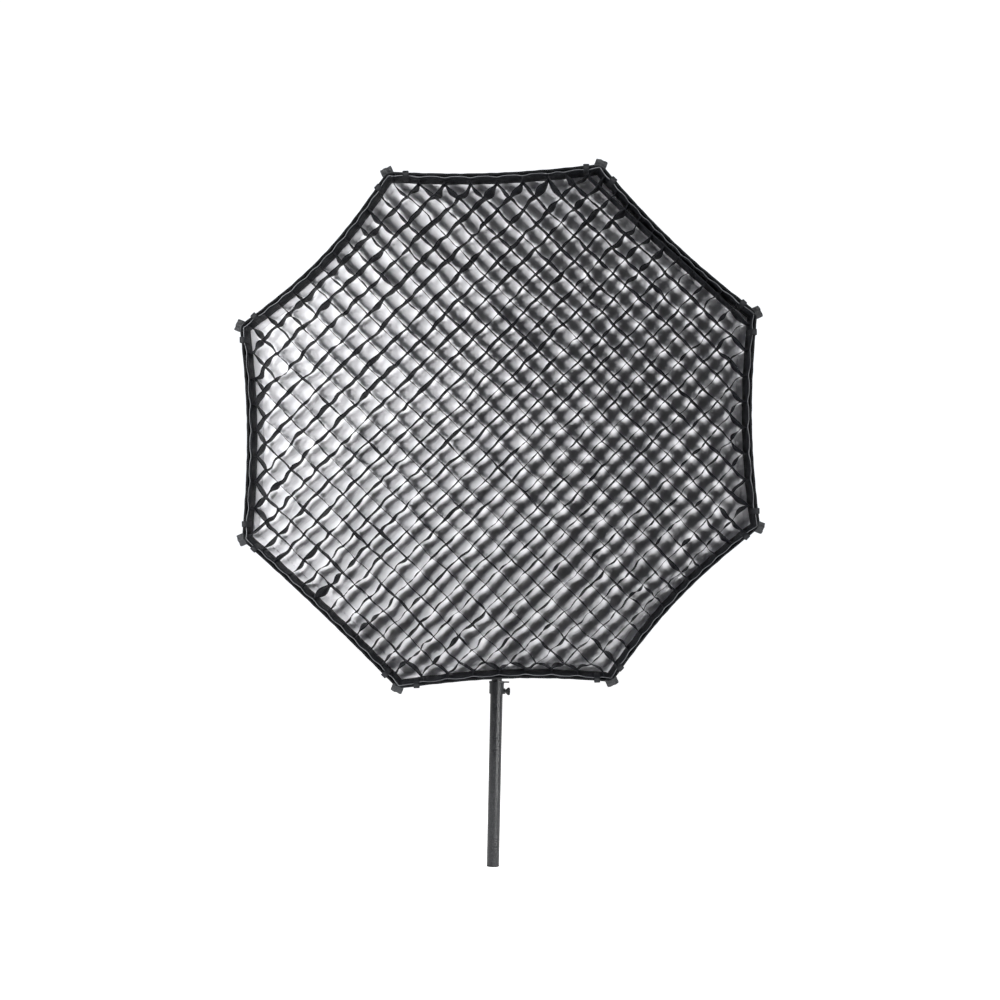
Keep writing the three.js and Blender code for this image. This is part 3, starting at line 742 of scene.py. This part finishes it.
POCKET_MOUTH = 0.0062  # how much further out its mouth is, and how much further in
POCKET_SINK = 0.0012
POCKET_HOLLOW = 0.0034  # its front is hollow, with a ridge along it and dimples
POCKET_RIDGE = 0.0022
POCKET_DIMPLE = 0.0009
POCKET_WAVE = 0.0012  # how far its front edge waves, and how deep its creases and its one fold are
POCKET_CREASE = 0.0007
POCKET_FOLD = 0.002
POCKET_SKEW = 0.0012
POCKET_FLARES = (0.9, 1.15)
POCKET_FOLDS = (-0.4, 0.4)
POCKET_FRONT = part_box("front_hem")[0][1] - 0.0012
POCKET_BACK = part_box("corner_pocket_1")[1][1] + 0.004
POCKET_INSIDE = POCKET_FRONT + 0.016  # where its cloth ends inside the lip
# The rows of a pocket's cloth: forward outside, across the front, and back inside
POCKET_ROUTE = (
    [("outer", v) for v in np.linspace(0, 1, 8)]
    + [("front", v) for v in (0.12, 0.35, 0.62, 0.88)]
    + [("inner", v) for v in np.linspace(1, 0, 4)]
)
TAB_WIDTH = 0.013
TAB_COLUMNS = 4
TAB_STEP = 0.007
TAB_WALL = 0.0013
TAB_FROM_CORNER = (0.045, 0.065)  # least and most, in radians
TAB_LIFT = (0.0008, 0.0026)
# Along a tab: how far out from the lip, how far back from its front edge, and whether it is lifted off there
TAB_ROUTE = ((0.0016, 0.026, 0), (0.002, 0.012, 0), (0.0026, 0.003, 1), (0.0022, -0.005, 1),
             (-0.001, -0.0074, 0), (-0.006, -0.006, 0), (-0.0085, 0.001, 0), (-0.0088, 0.014, 0),
             (-0.0094, 0.024, 0))
FLAT_RINGS = 28
FLAT_STEPS = 24
FLAT_WALL = 0.0006
DIFFUSER_BILLOW = 0.0008  # how full a flat cloth's middle is
BAFFLE_BILLOW = 0.002
PUCKER = 0.0007
UNEVENNESS = 0.0009
RIM_STEPS = 48
RIM_WALL = 0.0008
RIM_PUCKER = 0.0003
# The diffuser's turned-up edge: (radius of a corner, how far forward of the diffuser)
RIM_PROFILE = ((0.5676, 0), (0.569, 0.0012), (0.5725, 0.0042), (0.578, 0.0092), (0.583, 0.0132),
               (0.5882, 0.0148))
COLLAR_STEPS = 64
COLLAR_WALL = 0.0012
COLLAR_GATHER = 0.0016
# The rear collar, from the shell to the ring: (radius of a corner, y)
COLLAR_PROFILE = ((0.1228, -0.0784), (0.115, -0.0715), (0.1045, -0.063), (0.0985, -0.0585), (0.096, -0.055),
                  (0.0942, -0.0515), (0.0938, -0.0478), (0.0925, -0.0474))
STRAP_FROM = 0.2635
STRAP_TO = 0.3158
STRAP_ROWS = 13
STRAP_WALL = 0.001
STRAP_HALF = 0.0038  # half a strap's width at its ends, and how much less it is in its middle
STRAP_NECK = 0.0008
STRAP_WAVE = 0.0004


def rod_at(t):
    """The rods' middle line: its radius, y, and the direction square to it and outwards."""
    (r0, y0), (r1, y1), (r2, y2) = ROD_START, ROD_BEND, ROD_TIP
    r = (1 - t) ** 2 * r0 + 2 * t * (1 - t) * r1 + t * t * r2
    y = (1 - t) ** 2 * y0 + 2 * t * (1 - t) * y1 + t * t * y2
    dr = (1 - t) * (r1 - r0) + t * (r2 - r1)
    dy = (1 - t) * (y1 - y0) + t * (y2 - y1)
    length = math.hypot(dr, dy)
    return r, y, -dy / length, dr / length


def shell_layer(name, material, lift, until):
    """The eight panels between the rods: each is drawn in between its seams."""
    angles = outline(SHELL_STEPS)
    f = from_middle(angles)
    between = np.cos(f / HALF_SIDE * math.pi / 2) ** 0.8
    points, cloth = [], []
    run = 0.0
    previous = None
    for i in range(SHELL_ROWS):
        t = SHELL_FROM + (until - SHELL_FROM) * i / (SHELL_ROWS - 1)
        r, y, out_r, out_y = rod_at(t)
        corner = r + lift * out_r
        y += lift * out_y
        fullness = math.sin(math.pi * ((t - SHELL_FROM) / (1 - SHELL_FROM))) ** 0.7
        pulls = ripple(angles, 100 + i // 3, (40, 56, 72), PANEL_PULL) * between
        drawn = PANEL_SINK * fullness * between + pulls
        points.append(ring(reach(angles, corner, t) - drawn * out_r, y - drawn * out_y, angles))
        if previous is not None:
            run += math.hypot(corner - previous[0], y - previous[1])
        previous = (corner, y)
        cloth.append(np.stack([f * corner, np.full_like(f, run), between], axis=1))
    faces = sheet_faces(SHELL_ROWS, len(angles), closed=True)
    piece = mesh_piece(name, world(np.concatenate(points)), faces, material, np.concatenate(cloth))
    thicken(piece, SHELL_WALL)
    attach(piece, "softbox")
    return piece


def seam_tapes():
    """A bound seam over each rod, from the rear collar to the lip, raised along its middle."""
    points, faces, cloth = [], [], []
    for corner in range(SIDES):
        angle = corner_angle(corner)
        start = len(points)
        for i in range(TAPE_ROWS):
            t = SHELL_FROM + (TAPE_UNTIL - SHELL_FROM) * i / (TAPE_ROWS - 1)
            r, y, out_r, out_y = rod_at(t)
            for across, up in TAPE_SECTION:
                h = TAPE_LIFT + up - abs(across) * TAPE_FALL
                x, z = turned((r + h * out_r) * stretched(angle, t), across, angle)
                points.append((x, y + h * out_y, z))
                cloth.append((across, i * TAPE_STEP, 0))
        faces += sheet_faces(TAPE_ROWS, len(TAPE_SECTION), start=start)
    piece = mesh_piece("seam_tapes", world(points), faces, NYLON, cloth)
    thicken(piece, TAPE_WALL, 1.0)
    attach(piece, "softbox")


def lip_creases(angles, v):
    """Shallow creases in the lip, deeper towards its front edge, where v is 1."""
    long_ones = ripple(angles, 7, (24, 37, 53, 71), LIP_CREASE * v)
    return long_ones + ripple(angles, 8, (90, 131), LIP_FINE_CREASE)


def front_lip():
    """The band in front of the diffuser, with a rolled hem in front and piping round its back seam."""
    profile = []
    for i in range(LIP_ROWS):
        v = i / (LIP_ROWS - 1)
        corner = LIP_BACK[0] - LIP_INSET + (LIP_FRONT[0] - LIP_BACK[0]) * v
        profile.append((corner, LIP_BACK[1] + (LIP_FRONT[1] - LIP_INTO_HEM - LIP_BACK[1]) * v, 1))
    # The lip and its hem take the lip's cloth, whose deeper black is painted shade.
    piece = octagon_band("front_lip_cloth", profile, LIP_STEPS, LIP_SHADED_NYLON, LIP_WALL, lip_creases)
    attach(piece, "softbox")
    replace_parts(piece, "front_lip")
    angles = outline(LIP_STEPS)
    radius = reach(angles, LIP_FRONT[0] - LIP_INSET, 1) + lip_creases(angles, 1.0)
    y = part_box("front_hem")[0][1] + HEM_INSET + ripple(angles, 9, (31, 47, 66), HEM_WAVE)
    hem = cord("front_hem_roll", ring(radius, y, angles), HEM_RADIUS, LIP_SHADED_NYLON)
    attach(hem, "softbox")
    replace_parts(hem, "front_hem")
    radius = reach(angles, LIP_BACK[0] + PIPING_OUT, 1) + ripple(angles, 12, (43, 61, 88), PIPING_WAVE)
    piping = cord("lip_seam_piping", ring(radius, LIP_BACK[1] + PIPING_OUT, angles), PIPING_RADIUS, NYLON)
    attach(piping, "softbox")


def pocket_section(u, forward, flare):
    """A pocket's half width and how far out from the lip its two sides are. u runs across it from -1 to 1."""
    half = POCKET_HALF + POCKET_FLARE * flare * forward ** 1.6
    corner = POCKET_CORNER * abs(u) ** 1.4
    opened = POCKET_MOUTH * forward ** 1.8 * (0.8 + 0.2 * abs(u))
    outside = POCKET_OUT + opened - corner * (1 - 0.75 * forward)
    inside = -POCKET_IN - POCKET_SINK * forward - corner * (1 - 0.45 * forward)
    return half, outside, inside


def corner_pocket(index):
    """A cap over a rod's tip. Its cloth runs forward outside the lip, across the front and back inside."""
    angle = corner_angle(index)
    skew = rng.normal(0, POCKET_SKEW)
    flare = rng.uniform(*POCKET_FLARES)
    fold = rng.uniform(*POCKET_FOLDS)
    points, cloth = [], []
    for row, (part, v) in enumerate(POCKET_ROUTE):
        forward = 1.0 if part == "front" else v
        for n in range(POCKET_COLUMNS):
            u = 2 * n / (POCKET_COLUMNS - 1) - 1
            half, outside, inside = pocket_section(u, forward, flare)
            if part == "front":
                ridge = POCKET_RIDGE * math.exp(-((u - 0.3 * fold) / 0.22) ** 2)
                hollow = POCKET_HOLLOW - ridge + POCKET_DIMPLE * math.sin(8 * u + 5 * v + index)
                out = outside + (inside - outside) * v
                y = POCKET_FRONT + hollow * math.sin(math.pi * v)
            elif part == "outer":
                out = outside
                y = POCKET_BACK + (POCKET_FRONT - POCKET_BACK) * v
            else:
                out = inside
                y = POCKET_INSIDE + (POCKET_FRONT - POCKET_INSIDE) * v
            y -= POCKET_WAVE * math.cos(3 * u + fold * 4) * forward
            depth = LIP_BACK[1] - y
            lip = LIP_BACK[0] + (LIP_FRONT[0] - LIP_BACK[0]) * depth / (LIP_BACK[1] - LIP_FRONT[1])
            crease = POCKET_CREASE * math.sin(7 * u + 5 * v + index) * forward
            crease += fold * POCKET_FOLD * u * forward
            x, z = turned(lip * stretched(angle, 1) + out + crease, u * half + skew * forward, angle)
            points.append((x, y, z))
            cloth.append((u * half, row * POCKET_STEP, 1))
    faces = sheet_faces(len(POCKET_ROUTE), POCKET_COLUMNS)
    first_edge = [row * POCKET_COLUMNS for row in range(len(POCKET_ROUTE))]
    last_edge = [first + POCKET_COLUMNS - 1 for first in reversed(first_edge)]
    faces += [tuple(first_edge), tuple(last_edge)]
    # The pocket's paler cloth is painted light.
    piece = mesh_piece(f"pocket_{index + 1}", world(points), faces, POCKET_LIT_CLOTH, cloth)
    thicken(piece, POCKET_WALL)
    round_off(piece)
    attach(piece, "softbox")
    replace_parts(piece, f"corner_pocket_{index + 1}")


def grip_tabs():
    """Hook-and-loop tabs beside each corner, folded over the lip's front edge to hold the grid."""
    points, faces, cloth = [], [], []
    for side in range(SIDES):
        for end in (-1, 1):
            f = end * (HALF_SIDE - rng.uniform(*TAB_FROM_CORNER))
            lift = rng.uniform(*TAB_LIFT)
            outer = reach(side * SIDE_TURN + f, LIP_FRONT[0], 1)
            start = len(points)
            for n, (out, back, lifted) in enumerate(TAB_ROUTE):
                for across in np.linspace(-TAB_WIDTH / 2, TAB_WIDTH / 2, TAB_COLUMNS):
                    r = outer * math.cos(f) + (out + lift * lifted) - LIP_FALL * back / LIP_DEPTH
                    x, z = turned(r, outer * math.sin(f) + across, side * SIDE_TURN)
                    points.append((x, LIP_FRONT[1] + back, z))
                    cloth.append((across, n * TAB_STEP, 1))
            faces += sheet_faces(len(TAB_ROUTE), TAB_COLUMNS, start=start)
    piece = mesh_piece("grip_tabs", world(points), faces, NYLON, cloth)
    thicken(piece, TAB_WALL)
    round_off(piece)
    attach(piece, "softbox")


def flat_cloth(name, corner, y, pull, billow, node):
    """A stretched octagon of white cloth, a little full in its middle and puckered along its edge."""
    angles = outline(FLAT_STEPS)
    points, cloth = [(0, y + billow, 0)], [(0, 0, 1)]
    for i in range(1, FLAT_RINGS + 1):
        s = i / FLAT_RINGS
        r = reach(angles, corner, pull * s) * s
        x, z = r * np.cos(angles), r * np.sin(angles)
        pucker = ripple(angles, 40, (64, 97, 131), PUCKER) * s ** 12
        soft = UNEVENNESS * np.sin(11 * x + 3) * np.sin(9 * z + 1)
        depth = y + billow * (1 - s * s) + pucker + soft * (1 - s)
        points += list(np.stack([x, depth, z], axis=1))
        cloth += list(np.stack([x, z, np.ones(len(x))], axis=1))
    count = len(angles)
    faces = [(0, 1 + k, 1 + (k + 1) % count) for k in range(count)]
    faces += [tuple(reversed(face)) for face in sheet_faces(FLAT_RINGS, count, closed=True, start=1)]
    piece = mesh_piece(name, world(points), faces, WHITE, cloth)
    thicken(piece, FLAT_WALL)
    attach(piece, "softbox")
    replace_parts(piece, node)


def diffuser_rim():
    """The diffuser's turned-up edge, that comes forward past the rods' tips to the lip."""
    def puckers(angles, _):
        return ripple(angles, 41, (64, 97), RIM_PUCKER)

    profile = [(corner, DIFFUSER_Y - forward, 1) for corner, forward in RIM_PROFILE]
    piece = octagon_band("diffuser_rim", profile, RIM_STEPS, WHITE, RIM_WALL, puckers)
    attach(piece, "softbox")


def rear_collar():
    """The elastic sleeve that gathers the shell's back edge round the speed ring."""
    def gathers(angles, v):
        return COLLAR_GATHER * (0.25 + 0.75 * v) * np.sin(88 * angles + 2 * np.sin(5 * angles))

    profile = [(corner, y, 0) for corner, y in COLLAR_PROFILE]
    piece = octagon_band("rear_collar_cloth", profile, COLLAR_STEPS, NYLON, COLLAR_WALL, gathers)
    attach(piece, "softbox")
    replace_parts(piece, "rear_collar")


def baffle_straps():
    """Elastic straps from the baffle's corners to the rods, a little narrower in their middles."""
    for index in range(SIDES):
        angle = corner_angle(index)
        points, cloth = [], []
        for i in range(STRAP_ROWS):
            v = i / (STRAP_ROWS - 1)
            r = STRAP_FROM + (STRAP_TO - STRAP_FROM) * v
            half = STRAP_HALF - STRAP_NECK * math.sin(math.pi * v)
            y = BAFFLE_Y + STRAP_WAVE * math.sin(8 * v)
            for across in (-half, 0, half):
                x, z = turned(r, across, angle)
                points.append((x, y, z))
                cloth.append((across, r, 1))
        piece = mesh_piece(f"strap_{index + 1}", world(points), sheet_faces(STRAP_ROWS, 3), NYLON, cloth)
        thicken(piece, STRAP_WALL)
        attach(piece, "softbox")
        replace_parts(piece, f"baffle_strap_{index + 1}")


# ---- The set ----
CAMERA_PLACE = (0.0541, -4.470, 0.8295)
CAMERA_TURN = (math.radians(0.71), math.radians(0.56), math.radians(-1.2))
LENS_MM = 67.35
SENSOR_MM = 36.0
FLOOR_Z = -0.0005
FLOOR_GLOW = 0.8
SKY_COLOUR = (0.95, 0.97, 1, 1)
SKY_FROM = -0.1  # the sky's light grows between these two directions, from in front to behind the softbox
SKY_TO = 0.6
SKY_FRONT = 0.14
SKY_REAR = 0.55
SKY_SEEN = 1.1
FRONT_MIDDLE = (0, -0.45, AXIS_Z)
FRONT_LEFT = (-0.25, -0.45, AXIS_Z + 0.05)
# Name, place, what it is turned to, size and power
LAMPS = (
    ("main_near", (-0.65, -1.85, 1.12), FRONT_LEFT, 0.2, 13.0),
    ("main_side", (-1.05, -1.85, 1.15), FRONT_LEFT, 0.28, 17.0),
    ("upper_left", (-1.5, -1.85, 1.65), FRONT_LEFT, 0.6, 14.0),
    ("top", (0.1, -1.85, 2.2), FRONT_MIDDLE, 0.5, 4.0),
    ("right_far", (3.0, -3.6, 1.6), FRONT_MIDDLE, 0.9, 120.0),
    ("low_right", (0.9, -1.85, 0.2), (0.3, -0.45, 0.8), 0.5, 6.0),
    ("behind", (1.4, 2.2, 2.4), (0, 0, 0.9), 1.5, 60.0),
)
STREAK_LAMP = ("stand_side", (2.4, -2.3, 0.05), (0, 0, 0.12), 0.35, 0.8)
STREAK_SPREAD = math.radians(24)


def camera():
    """Seen from the front, a little below the softbox's middle."""
    data = bpy.data.cameras.new("camera")
    data.lens = LENS_MM
    data.sensor_width = SENSOR_MM
    made = bpy.data.objects.new("camera", data)
    yaw, pitch, roll = CAMERA_TURN
    turn = Matrix.Rotation(yaw, 4, "Z") @ Matrix.Rotation(pitch, 4, "X") @ Matrix.Rotation(roll, 4, "Y")
    made.matrix_world = Matrix.Translation(CAMERA_PLACE) @ turn @ Matrix.Rotation(math.pi / 2, 4, "X")
    bpy.context.scene.collection.objects.link(made)
    bpy.context.scene.camera = made


def area_light(name, place, target, size, power):
    data = bpy.data.lights.new(name, "AREA")
    data.shape = "SQUARE"
    data.size = size
    data.energy = power
    made = bpy.data.objects.new(name, data)
    made.location = place
    made.rotation_euler = (Vector(target) - Vector(place)).to_track_quat("-Z", "Y").to_euler()
    made.visible_camera = False
    bpy.context.scene.collection.objects.link(made)
    return data


def stage():
    """A pale floor under the stand, that runs far back behind it."""
    mesh = bpy.data.meshes.new("floor")
    near, far, half = -1.35, 9.0, 6.0
    mesh.from_pydata([(-half, near, 0), (half, near, 0), (half, far, 0), (-half, far, 0)], [], [(0, 1, 2, 3)])
    floor = bpy.data.objects.new("floor", mesh)
    floor.location.z = FLOOR_Z
    bpy.context.scene.collection.objects.link(floor)
    pale = Shader("pale_floor", (0.85, 0.85, 0.85), 0.9)
    pale.surface.inputs["Emission Color"].default_value = (1, 1, 1, 1)
    pale.surface.inputs["Emission Strength"].default_value = FLOOR_GLOW
    mesh.materials.append(pale.material)


def surroundings():
    """White to the eye; as light, a pale sky behind the softbox and a darker room in front of it."""
    sky = bpy.data.worlds.new("studio")
    bpy.context.scene.world = sky
    sky.use_nodes = True
    nodes, links = sky.node_tree.nodes, sky.node_tree.links
    background = nodes["Background"]
    background.inputs["Color"].default_value = SKY_COLOUR
    path = nodes.new("ShaderNodeLightPath")
    place = nodes.new("ShaderNodeTexCoord")
    split = nodes.new("ShaderNodeSeparateXYZ")
    ramp = nodes.new("ShaderNodeMapRange")
    ramp.inputs["From Min"].default_value = SKY_FROM
    ramp.inputs["From Max"].default_value = SKY_TO
    ramp.inputs["To Min"].default_value = SKY_FRONT
    ramp.inputs["To Max"].default_value = SKY_REAR
    choose = nodes.new("ShaderNodeMix")
    factor, light, seen = choose.inputs[0], choose.inputs[2], choose.inputs[3]
    seen.default_value = SKY_SEEN
    links.new(place.outputs["Generated"], split.inputs[0])
    links.new(split.outputs["Y"], ramp.inputs["Value"])
    links.new(path.outputs["Is Camera Ray"], factor)
    links.new(ramp.outputs[0], light)
    links.new(choose.outputs[0], background.inputs["Strength"])


def lights():
    """The room's lamps, and a narrow one beside the stand that draws a streak down its tubes."""
    for lamp in LAMPS:
        area_light(*lamp)
    streak = area_light(*STREAK_LAMP)
    streak.spread = STREAK_SPREAD


camera()
finish_cad()
make_grid()
front_lip()
for pocket in range(SIDES):
    corner_pocket(pocket)
grip_tabs()
flat_cloth("diffuser_cloth", DIFFUSER_CORNER, DIFFUSER_Y, 1, DIFFUSER_BILLOW, "front_diffuser")
diffuser_rim()
flat_cloth("baffle_cloth", BAFFLE_CORNER, BAFFLE_Y, 0, BAFFLE_BILLOW, "inner_baffle")
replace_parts(shell_layer("shell_cloth", NYLON, SHELL_LIFT, SHELL_UNTIL), "outer_shell")
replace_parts(shell_layer("lining_cloth", SILVER, LINING_LIFT, LINING_UNTIL), "silver_lining")
seam_tapes()
rear_collar()
baffle_straps()
stage()
surroundings()
lights()
bpy.context.scene.view_settings.view_transform = "Standard"
